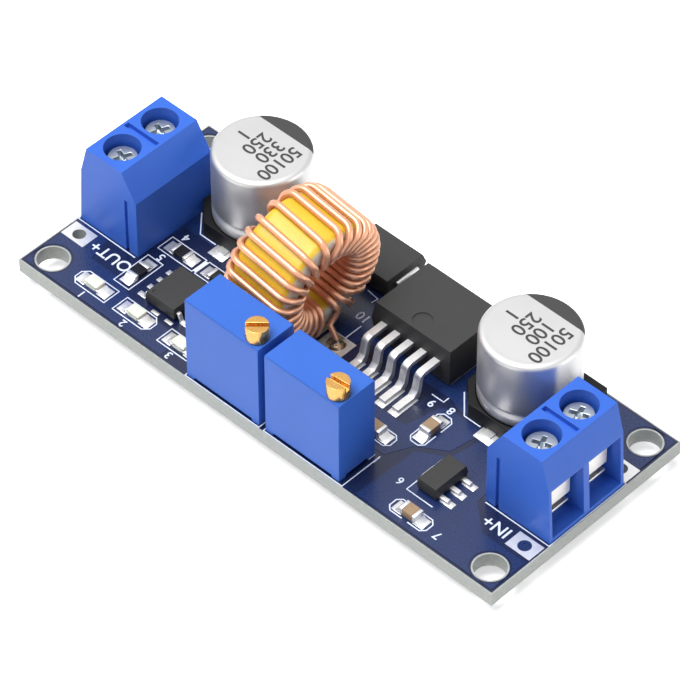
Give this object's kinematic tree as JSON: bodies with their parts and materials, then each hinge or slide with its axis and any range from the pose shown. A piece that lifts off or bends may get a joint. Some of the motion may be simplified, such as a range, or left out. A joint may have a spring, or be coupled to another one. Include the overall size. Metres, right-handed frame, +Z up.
{
  "type": "buck converter module",
  "caption": "Step-down power board with a wound toroid, screw terminals at both ends, can capacitors and multi-turn trimmers.",
  "frame": {"origin": "under the centre of the board, at the level of the soldered pin tips it rests on", "axes": "+X along the board towards the input end, +Y towards the regulator's tab, +Z up out of the component side"},
  "size_m": [0.062, 0.026, 0.0182],
  "materials": {
    "laminate": "blue solder mask over copper, pale bare edges",
    "tin": "bright tin plating",
    "solder": "bright solder",
    "block_plastic": "satin blue moulding",
    "clamp_metal": "plated pressed metal",
    "leaf_metal": "bright sprung sheet",
    "screw_zinc": "bright zinc plating",
    "can_aluminium": "satin drawn can",
    "base_plastic": "black moulding",
    "core_yellow": "yellow coated powder core",
    "copper_wire": "enamelled copper wire",
    "adhesive": "pale cured adhesive",
    "package_resin": "black moulding resin",
    "trimmer_plastic": "smooth blue moulding",
    "trimmer_brass": "bare turned brass",
    "lamp_white": "white lamp body",
    "lamp_lens": "clear resin over phosphor",
    "resistor_glaze": "black glaze",
    "ceramic_tan": "fired ceramic"
  },
  "bodies": {
    "module": {"board": "laminate", "solder_pads": "tin", "through_solder": "solder", "chip_solder": "solder", "in_housing": "block_plastic", "out_housing": "block_plastic", "in_clamps": "clamp_metal", "out_clamps": "clamp_metal", "in_can": "can_aluminium", "out_can": "can_aluminium", "in_can_base": "base_plastic", "out_can_base": "base_plastic", "in_can_feet": "tin", "out_can_feet": "tin", "toroid_core": "core_yellow", "toroid_winding": "copper_wire", "toroid_solder": "solder", "toroid_dab": "adhesive", "regulator_body": "package_resin", "regulator_tab": "tin", "regulator_leads": "tin", "diode_body": "package_resin", "diode_leads": "tin", "trimmer_1_housing": "trimmer_plastic", "trimmer_2_housing": "trimmer_plastic", "trimmer_1_pins": "tin", "trimmer_2_pins": "tin", "amplifier_body": "package_resin", "amplifier_leads": "tin", "small_regulator_body": "package_resin", "small_regulator_leads": "tin", "lamp_bases": "lamp_white", "lamp_lenses": "lamp_lens", "lamp_ends": "tin", "resistor_bodies": "resistor_glaze", "resistor_ends": "tin", "ceramic_bodies": "ceramic_tan", "ceramic_ends": "tin"},
    "in_pos_leaf": {"in_pos_leaf": "leaf_metal"},
    "in_pos_screw": {"in_pos_screw": "screw_zinc"},
    "in_neg_leaf": {"in_neg_leaf": "leaf_metal"},
    "in_neg_screw": {"in_neg_screw": "screw_zinc"},
    "out_pos_leaf": {"out_pos_leaf": "leaf_metal"},
    "out_pos_screw": {"out_pos_screw": "screw_zinc"},
    "out_neg_leaf": {"out_neg_leaf": "leaf_metal"},
    "out_neg_screw": {"out_neg_screw": "screw_zinc"},
    "trimmer_1_screw": {"trimmer_1_screw": "trimmer_brass"},
    "trimmer_2_screw": {"trimmer_2_screw": "trimmer_brass"}
  },
  "joints": [
    {"name": "in_pos_clamp", "type": "slide", "parent": "module", "child": "in_pos_leaf", "axis": [0, 0, -1], "range_m": [-0.00075, 0.00065]},
    {"name": "in_pos_turn", "type": "hinge", "parent": "in_pos_leaf", "child": "in_pos_screw", "pos_m": [0.0271, -0.00234, 0.0119], "axis": [0, 0, -1], "range_deg": [-540, 468]},
    {"name": "in_neg_clamp", "type": "slide", "parent": "module", "child": "in_neg_leaf", "axis": [0, 0, -1], "range_m": [-0.00075, 0.00065]},
    {"name": "in_neg_turn", "type": "hinge", "parent": "in_neg_leaf", "child": "in_neg_screw", "pos_m": [0.0271, 0.00274, 0.0119], "axis": [0, 0, -1], "range_deg": [-540, 468]},
    {"name": "out_pos_clamp", "type": "slide", "parent": "module", "child": "out_pos_leaf", "axis": [0, 0, -1], "range_m": [-0.00075, 0.00065]},
    {"name": "out_pos_turn", "type": "hinge", "parent": "out_pos_leaf", "child": "out_pos_screw", "pos_m": [-0.0271, -0.00234, 0.0119], "axis": [0, 0, -1], "range_deg": [-540, 468]},
    {"name": "out_neg_clamp", "type": "slide", "parent": "module", "child": "out_neg_leaf", "axis": [0, 0, -1], "range_m": [-0.00075, 0.00065]},
    {"name": "out_neg_turn", "type": "hinge", "parent": "out_neg_leaf", "child": "out_neg_screw", "pos_m": [-0.0271, 0.00274, 0.0119], "axis": [0, 0, -1], "range_deg": [-540, 468]},
    {"name": "trimmer_1_adjust", "type": "hinge", "parent": "module", "child": "trimmer_1_screw", "pos_m": [-0.00009, -0.01139, 0.0131], "axis": [0, 0, 1], "continuous": true},
    {"name": "trimmer_2_adjust", "type": "hinge", "parent": "module", "child": "trimmer_2_screw", "pos_m": [0.01026, -0.01139, 0.0131], "axis": [0, 0, 1], "continuous": true}
  ],
  "couplings": [
    {"joint": "in_pos_turn", "follows": "in_pos_clamp", "rad_per_m": 12566},
    {"joint": "in_neg_turn", "follows": "in_neg_clamp", "rad_per_m": 12566},
    {"joint": "out_pos_turn", "follows": "out_pos_clamp", "rad_per_m": 12566},
    {"joint": "out_neg_turn", "follows": "out_neg_clamp", "rad_per_m": 12566}
  ]
}
